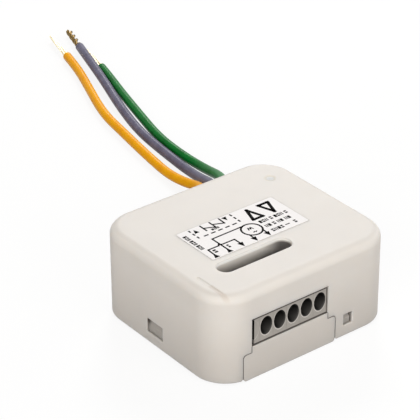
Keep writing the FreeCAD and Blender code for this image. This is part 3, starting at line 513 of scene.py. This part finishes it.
def housing_look():
    """Warm off-white plastic with a little light under its surface, and painted shade and
    painted highlights that follow the housing's shape."""
    look = moulded("housing_plastic", srgb(232, 226, 219), 5200, 0.46, 0.60, spread=0.012,
                   Specular_IOR_Level=0.30, Subsurface_Weight=0.6, Subsurface_Scale=0.003,
                   Subsurface_Radius=(1.0, 0.9, 0.8))
    axes = look.axes()
    patches = light_spot_paint(look, look.patches)
    patches = roof_shade_paint(look, patches, *axes)
    patches = wall_shade_paint(look, patches, *axes)
    look.colour(slot_light_and_shade(look, patches, *axes))
    return look


# The oval wire entries and the strip's front, in the same coordinates. The lip and the bore
# are in parts of an entry's half size.
PITCH = 0.0035
FIRST_ENTRY_X = -0.01095
ENTRY_Z = 0.0112
ENTRY_HALF_WIDTH = 0.00155
ENTRY_HALF_HEIGHT = 0.00215
LIP = (1.03, 1.07)
BORE = 1.1
BORE_FADE = (-0.020345, -0.02031)
STRIP_X, STRIP_Z = (-0.01430, 0.00476), (0.00804, 0.01368)


def terminal_look():
    """Grey moulded terminal block with painted highlights on its lips. Painted shade darkens the
    inside of the entries and the block round the edge of its front."""
    look = moulded("terminal_plastic", srgb(171, 167, 161), 7000, 0.45, 0.62, patch_scale=260,
                   spread=0.05, bump=0.22, Specular_IOR_Level=0.18)
    x, y, z = look.axes()
    # 0.5 in the middle of each entry. The ten whole pitches keep the number above 0.
    share = look.compute("MULTIPLY_ADD", x, 1 / PITCH, 10.5 - FIRST_ENTRY_X / PITCH)
    share = look.compute("FRACT", share)
    across = look.times(look.compute("SUBTRACT", share, 0.5), PITCH / ENTRY_HALF_WIDTH)
    up = look.times(look.compute("SUBTRACT", z, ENTRY_Z), 1 / ENTRY_HALF_HEIGHT)
    reach = look.compute("ADD", look.times(across, across), look.times(up, up))
    reach = look.compute("SQRT", reach)
    # Painted highlight on the lips of the entries, strongest at their lower left.
    lip = look.band(reach, *LIP, fade=0.04)
    lower_left_highlight = look.remap(look.compute("ADD", across, up), 0.9, -0.9, 0.1, 0.8)
    patches = look.mix(look.times(lip, lower_left_highlight), look.patches, srgb(226, 222, 216))
    # Painted shade on the block outside the outline of its front.
    front = look.times(look.band(x, *STRIP_X), look.band(z, *STRIP_Z))
    patches = look.mix(look.remap(front, 1, 0, 0, 0.9), patches, srgb(46, 42, 38))
    # Painted shade inside the entries, a little weaker towards their lower right.
    bore = look.times(look.remap(y, *BORE_FADE, 0, 1), look.band(reach, -1, BORE))
    bore_shade_weight = look.remap(look.compute("SUBTRACT", across, up), 0.4, 1.4, 1, 0.88)
    look.colour(look.mix(look.times(bore, bore_shade_weight), patches, srgb(10, 9, 8)))
    return look


def metal(name, colour, low, high, streak=(1, 1, 1), scale=3000):
    """Bare metal with fine drawn or rolled marks."""
    look = Look(name, Metallic=1.0)
    marks = look.noise(scale, 3, 0.6, look.stretched(*streak))
    look.colour(look.ramp(marks, (NOISE_LOW, tinted(colour, 0.86)),
                          (NOISE_HIGH, tinted(colour, 1.08))))
    look.roughness(marks, low, high)
    look.bump(marks, strength=0.15, distance=0.00002)
    look.material.diffuse_color = colour
    return look


def insulation(name, colour, lighter, darker):
    """Glossy insulation: uneven colour along the wire and small handling marks."""
    look = Look(name, Specular_IOR_Level=0.09)
    patches = look.noise(420, 4, 0.55)
    look.colour(look.ramp(patches, (0.28, darker), (0.5, colour), (0.74, lighter)))
    look.roughness(look.noise(2600, 3), 0.30, 0.38)
    waves = look.bump(look.noise(300, 2), strength=0.04, distance=0.00010)
    look.bump(look.noise(2600, 2), strength=0.02, distance=0.00001, under=waves)
    look.material.diffuse_color = colour
    return look


def label_look():
    """Coated paper: near white, with faint fibres and a soft sheen."""
    look = Look("label_film", Specular_IOR_Level=0.2)
    fibres = look.noise(2400, 5, 0.65)
    look.colour(look.ramp(fibres, (NOISE_LOW, srgb(240, 237, 236)),
                          (NOISE_HIGH, srgb(247, 244, 243))))
    look.roughness(fibres, 0.50, 0.65)
    look.bump(fibres, strength=0.06, distance=0.00001)
    return look


def ink_look():
    """Black thermal print, slightly uneven, with almost no gloss."""
    look = Look("label_ink", IOR=1.03)
    dots = look.noise(9000, 3, 0.6)
    look.colour(look.ramp(dots, (NOISE_LOW, srgb(10, 9, 10)), (0.75, srgb(26, 25, 26))))
    look.roughness(dots, 0.35, 0.55)
    look.bump(dots, strength=0.10, distance=0.00001)
    return look


looks = {
    "label_film": label_look(),
    "label_ink": ink_look(),
    "housing_plastic": housing_look(),
    "terminal_plastic": terminal_look(),
    "key_plastic": moulded("key_plastic", srgb(150, 147, 142), 6000, 0.40, 0.55, spread=0.04),
    "relay_plastic": moulded("relay_plastic", srgb(34, 36, 40), 6000, 0.30, 0.45, spread=0.12),
    "film_capacitor_case": moulded("film_capacitor_case", srgb(70, 74, 82), 6000, 0.28, 0.42,
                                   spread=0.08),
    "capacitor_sleeve": moulded("capacitor_sleeve", srgb(24, 30, 46), 3500, 0.22, 0.36,
                                spread=0.10, Coat_Weight=0.2),
    "varistor_coating": moulded("varistor_coating", srgb(34, 74, 140), 2500, 0.25, 0.45,
                                spread=0.10, bump=0.3),
    "resistor_coating": moulded("resistor_coating", srgb(70, 130, 96), 3000, 0.40, 0.60,
                                spread=0.10, bump=0.3),
    "ferrite": moulded("ferrite", srgb(46, 42, 42), 2600, 0.55, 0.80, spread=0.15, bump=0.4),
    "chip_resin": moulded("chip_resin", srgb(28, 28, 30), 5200, 0.45, 0.65, spread=0.15),
    "led_resin": moulded("led_resin", srgb(236, 226, 170), 4000, 0.12, 0.24,
                         Transmission_Weight=0.35),
    "clear_plastic": moulded("clear_plastic", srgb(242, 238, 230), 4000, 0.10, 0.20, spread=0.01,
                             bump=0.03, Transmission_Weight=0.3, IOR=1.49),
    "board_laminate": moulded("board_laminate", srgb(36, 92, 60), 1800, 0.32, 0.48,
                              spread=0.12, bump=0.2, Coat_Weight=0.2),
    "can_metal": metal("can_metal", srgb(190, 190, 188), 0.28, 0.42),
    "tinned_metal": metal("tinned_metal", srgb(206, 205, 200), 0.25, 0.42),
    "spring_steel": metal("spring_steel", srgb(178, 178, 176), 0.22, 0.36, streak=(1, 6, 1)),
    "tinned_strands": metal("tinned_strands", srgb(242, 231, 203), 0.45, 0.60, scale=1500),
    "copper_strands": metal("copper_strands", srgb(124, 102, 60), 0.14, 0.28, scale=1500),
    "orange_insulation": insulation("orange_insulation", srgb(249, 172, 0),
                                    srgb(252, 180, 4), srgb(242, 160, 0)),
    "grey_insulation": insulation("grey_insulation", srgb(104, 102, 122),
                                  srgb(114, 112, 132), srgb(90, 87, 107)),
    "green_insulation": insulation("green_insulation", srgb(0, 108, 36),
                                   srgb(2, 118, 42), srgb(0, 92, 26)),
}


def paint(piece, slot):
    """Gives a piece the look that is named like its material slot."""
    piece.data.materials.clear()
    piece.data.materials.append(looks[slot].material)


for part in frame["record"]["subparts"]:
    paint(nodes[part["node"]], part["material_slot"])
for wire in ROUTES:
    paint(cords[wire], wire + "_insulation")
    paint(bare_ends[wire], BARE_METAL[wire])

# Label print

LABEL_LOW, LABEL_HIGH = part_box("label")
INK_LOW, INK_HIGH = 0.000001, 0.000008  # heights of the ink over the label
LINE = 0.38  # width of a plain line, in millimetres


class Print:
    """Flat marks on the label, in millimetres from its front left corner."""

    def __init__(self):
        self.bm = bmesh.new()

    def place(self, u, v, up):
        return Vector((LABEL_LOW.x + u * MM, LABEL_LOW.y + v * MM, LABEL_HIGH.z + up))

    def shape(self, corners):
        """A thin slab of ink with the given corners."""
        low = [self.bm.verts.new(self.place(u, v, INK_LOW)) for u, v in corners]
        high = [self.bm.verts.new(self.place(u, v, INK_HIGH)) for u, v in corners]
        count = len(corners)
        self.bm.faces.new(high)
        self.bm.faces.new(list(reversed(low)))
        for k in range(count):
            after = (k + 1) % count
            self.bm.faces.new((low[k], low[after], high[after], high[k]))

    def line(self, *points, width=LINE):
        """Straight strokes, each a little longer than its run so that corners close."""
        for (u0, v0), (u1, v1) in zip(points, points[1:]):
            run = Vector((u1 - u0, v1 - v0))
            along = run.normalized() * (width / 2)
            across = Vector((-along.y, along.x))
            start = Vector((u0, v0)) - along
            end = Vector((u1, v1)) + along
            self.shape([tuple(start - across), tuple(end - across),
                        tuple(end + across), tuple(start + across)])

    def dashes(self, start, end, count, share):
        """A broken line, of which the given share is ink."""
        for k in range(count):
            first = Vector(start).lerp(Vector(end), (k + 0.5 - share / 2) / count)
            last = Vector(start).lerp(Vector(end), (k + 0.5 + share / 2) / count)
            self.line(tuple(first), tuple(last))

    def ring(self, u, v, radius, width=LINE, sides=48):
        for k in range(sides):
            corners = []
            for turn, reach in ((k, radius - width / 2), (k, radius + width / 2),
                                (k + 1, radius + width / 2), (k + 1, radius - width / 2)):
                angle = 2 * math.pi * turn / sides
                corners.append((u + reach * math.cos(angle), v + reach * math.sin(angle)))
            self.shape(corners)

    def head(self, u, v, way, size):
        """A filled triangle with its point at u, v, towards the back (1) or the front (-1)."""
        back = v - way * size * 1.5
        half = way * size * 0.62
        self.shape([(u, v), (u - half, back), (u + half, back)])

    def marks(self, u, v, counts, width=0.54, height=1.05, upright=False):
        """Groups of plain printed marks in a row to the right or, upright, to the front."""
        stroke = 0.22
        step = width * 1.25
        gap = width * (0.4 if upright else 0.6)
        kinds = (
            [(0, 0, width, 1)],
            [(0, 0, width, 0.40), (0, 0.60, width, 1)],
            [(0, 0, stroke, 1), (width - stroke, 0, width, 1)],
        )
        along = 0.0
        for count in counts:
            for k in range(count):
                for x0, y0, x1, y1 in kinds[(k + count) % 3]:
                    corners = [(along + x, y * height)
                               for x, y in ((x0, y0), (x1, y0), (x1, y1), (x0, y1))]
                    if upright:
                        corners = [(y, -x) for x, y in corners]
                    self.shape([(u + x, v + y) for x, y in corners])
                along += step
            along += gap


def label_print():
    """The wiring diagram, plain marks and two direction signs."""
    ink = Print()
    # switch with two directions, in a dashed box along the back edge
    ink.dashes((3.85, 8.3), (13.1, 8.3), 5, share=0.42)
    ink.dashes((2.95, 7.9), (2.95, 12.3), 3, share=0.3)
    ink.dashes((13.75, 8.0), (13.75, 12.3), 3, share=0.35)
    ink.line((6.0, 12.0), (6.0, 9.8))
    ink.line((6.2, 10.8), (8.2, 9.9))
    ink.line((8.4, 12.0), (8.4, 9.6))
    ink.line((8.6, 10.9), (10.8, 9.9), (10.9, 12.0))
    ink.marks(7.0, 9.0, [3], height=0.7)
    ink.head(3.95, 11.6, 1, 0.95)
    ink.head(12.0, 10.4, -1, 0.95)
    # motor, with leads from and to the terminals
    ink.ring(13.6, 4.35, 2.27, width=0.42)
    ink.line((12.95, 4.5), (13.2, 5.2), (13.5, 4.6), (13.8, 5.2), (14.05, 4.5), width=0.28)
    ink.line((13.2, 3.2), (13.5, 3.4), (13.7, 3.1), (14.0, 3.3), width=0.24)
    ink.line((11.8, 3.0), (11.8, 1.5))
    ink.line((15.3, 2.9), (15.3, 1.5))
    ink.line((13.0, 6.5), (4.8, 6.4), (4.8, 1.2))
    ink.line((4.8, 4.2), (4.2, 3.5), (1.5, 3.5), (1.4, 1.2))
    ink.line((4.8, 3.7), (5.3, 3.5), (8.3, 3.5), (8.3, 1.4))
    for u in (1.35, 4.75):
        ink.head(u, 1.7, 1, 1.06)
    for u in (8.3, 11.75, 15.2):
        ink.head(u, 0.05, -1, 1.12)
    ink.marks(2.0, 1.7, [1], width=0.8, height=1.2)
    ink.marks(5.5, 1.6, [1], height=1.2)
    # rows of plain marks along the left edge and at the right
    ink.marks(0.4, 10.7, [3, 3, 3], height=0.95, upright=True)
    ink.marks(16.6, 5.1, [3, 1, 3, 1], width=0.64)
    ink.marks(16.6, 3.05, [2, 1, 2, 2], width=0.64)
    ink.marks(16.6, 0.95, [4], width=0.64)
    ink.line((20.3, 1.5), (21.2, 1.5), width=0.28)
    ink.marks(22.5, 0.95, [1], width=0.64)
    # two bold direction signs
    ink.line((17.6, 11.1), (16.3, 7.2), (18.9, 7.2), (17.6, 11.1), width=0.75)
    ink.line((22.0, 7.2), (20.7, 11.1), (23.3, 11.1), (22.0, 7.2), width=0.75)
    piece = mesh_object("label_print", ink.bm, smooth=False)
    paint(piece, "label_ink")
    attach(piece, "module")


label_print()

# Springs under the release keys

LEAF_THICK = 0.0003
LEAF_BEND = 0.00045  # radius of its bends
LEAF_RISE = 0.0001  # height of its free end over its foot


def rounded_line(corners, radius, steps=6):
    """A line through corners, with an arc of the given radius at each inner one."""
    corners = [Vector(corner) for corner in corners]
    line = [corners[0]]
    for before, corner, after in zip(corners, corners[1:], corners[2:]):
        back = (before - corner).normalized()
        ahead = (after - corner).normalized()
        half = back.angle(ahead) / 2
        centre = corner + (back + ahead).normalized() * (radius / math.sin(half))
        reach = radius / math.tan(half)
        start = corner + back * reach - centre
        end = corner + ahead * reach - centre
        for step in range(steps + 1):
            line.append(centre + start.slerp(end, step / steps).normalized() * radius)
    return line + [corners[-1]]


def add_clamp_spring(pole):
    """A bent leaf with broken edges."""
    low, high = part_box("clamp_spring_" + pole)
    half = LEAF_THICK / 2
    edge = LEAF_THICK / 4
    line = rounded_line([
        (0, high.y - half, low.z), (0, high.y - half, high.z - half),
        (0, low.y + half, high.z - half), (0, low.y + 5 * half, low.z + LEAF_RISE),
    ], LEAF_BEND)
    bm = bmesh.new()
    rings = []
    for i, place in enumerate(line):
        ahead = (line[min(i + 1, len(line) - 1)] - line[max(i - 1, 0)]).normalized()
        out = Vector((0, -ahead.z, ahead.y))
        ring = []
        for across, up in ((low.x, -edge), (low.x + edge, -half), (high.x - edge, -half),
                           (high.x, -edge), (high.x, edge), (high.x - edge, half),
                           (low.x + edge, half), (low.x, edge)):
            ring.append(bm.verts.new(place + out * up + Vector((across, 0, 0))))
        rings.append(ring)
    skin(bm, rings)
    leaf = mesh_object("spring_leaf_" + pole, bm, smooth=False)
    paint(leaf, "spring_steel")
    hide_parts("clamp_spring_" + pole)
    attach(leaf, "module")
    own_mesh(leaf)


for pole in "12345":
    add_clamp_spring(pole)

# Floor, backdrop and light

FLOOR_RADIUS = 1.5
FLOOR_MIDDLE_Y = 0.05
FLOOR_Z = -0.00002
WARM_WHITE = (1, 0.985, 0.965)
WHITE = (1, 1, 1)


def looked_at(tree):
    """1 where a surface is looked at straight, in a reflection or through clear plastic, and
    0 where it lights something."""
    path = tree.nodes.new("ShaderNodeLightPath")
    seen = path.outputs["Is Camera Ray"]
    for ray in ("Is Glossy Ray", "Is Transmission Ray"):
        either = tree.nodes.new("ShaderNodeMath")
        either.operation = "MAXIMUM"
        tree.links.new(seen, either.inputs[0])
        tree.links.new(path.outputs[ray], either.inputs[1])
        seen = either.outputs["Value"]
    return seen


def add_floor():
    """A pale disc that takes the object's shadow. It is near white where it is looked at, and
    greyer where it lights the object."""
    bm = bmesh.new()
    sides = 64
    ring = []
    for k in range(sides):
        turn = 2 * math.pi * k / sides
        ring.append(bm.verts.new((FLOOR_RADIUS * math.cos(turn),
                                  FLOOR_MIDDLE_Y + FLOOR_RADIUS * math.sin(turn), FLOOR_Z)))
    bm.faces.new(ring)
    floor = mesh_object("floor", bm, smooth=False)
    look = Look("floor", Roughness=0.9, Specular_IOR_Level=0.1)
    seen = looked_at(look.tree)
    pale = look.ramp(look.noise(60), (0, srgb(236, 236, 235)), (1, srgb(242, 242, 241)))
    look.colour(look.mix(seen, srgb(118, 111, 106), pale))
    glow = look.node("Emission")
    glow.inputs["Strength"].default_value = 1.03
    mix = look.node("MixShader")
    look.feed(look.times(seen, 0.85), mix.inputs["Fac"])
    look.feed(look.shader.outputs["BSDF"], mix.inputs[1])
    look.feed(glow.outputs["Emission"], mix.inputs[2])
    look.feed(mix.outputs["Shader"], look.tree.nodes["Material Output"].inputs["Surface"])
    floor.data.materials.append(look.material)


def add_world():
    """White where it is looked at, and a weak warm white where it lights the object."""
    world = bpy.data.worlds.new("studio")
    world.use_nodes = True
    bpy.context.scene.world = world
    tree = world.node_tree
    light = tree.nodes["Background"]
    light.inputs["Color"].default_value = (*WARM_WHITE, 1)
    light.inputs["Strength"].default_value = 0.27
    white = tree.nodes.new("ShaderNodeBackground")
    white.inputs["Color"].default_value = (*WHITE, 1)
    white.inputs["Strength"].default_value = 1
    mix = tree.nodes.new("ShaderNodeMixShader")
    tree.links.new(looked_at(tree), mix.inputs["Fac"])
    tree.links.new(light.outputs["Background"], mix.inputs[1])
    tree.links.new(white.outputs["Background"], mix.inputs[2])
    tree.links.new(mix.outputs["Shader"], tree.nodes["World Output"].inputs["Surface"])


def add_lamp(name, place, size, power, colour):
    """A square soft box that points at the housing."""
    data = bpy.data.lights.new(name, "AREA")
    data.shape = "SQUARE"
    data.size = size
    data.energy = power
    data.color = colour
    lamp = bpy.data.objects.new(name, data)
    lamp.location = place
    lamp.rotation_mode = "QUATERNION"
    lamp.rotation_quaternion = Vector(place).to_track_quat("Z", "Y")
    bpy.context.collection.objects.link(lamp)


add_floor()
add_world()
add_lamp("left_box", (-0.66, -0.36, 0.34), size=0.60, power=4.5, colour=WARM_WHITE)
add_lamp("front_box", (0.12, -0.78, 0.34), size=0.60, power=2.9, colour=WARM_WHITE)
add_lamp("back_box", (0.47, 0.55, 0.49), size=0.25, power=3.6, colour=WHITE)
add_lamp("right_box", (0.80, -0.12, 0.30), size=0.50, power=1.5, colour=WHITE)

bpy.context.scene.view_settings.view_transform = "Standard"
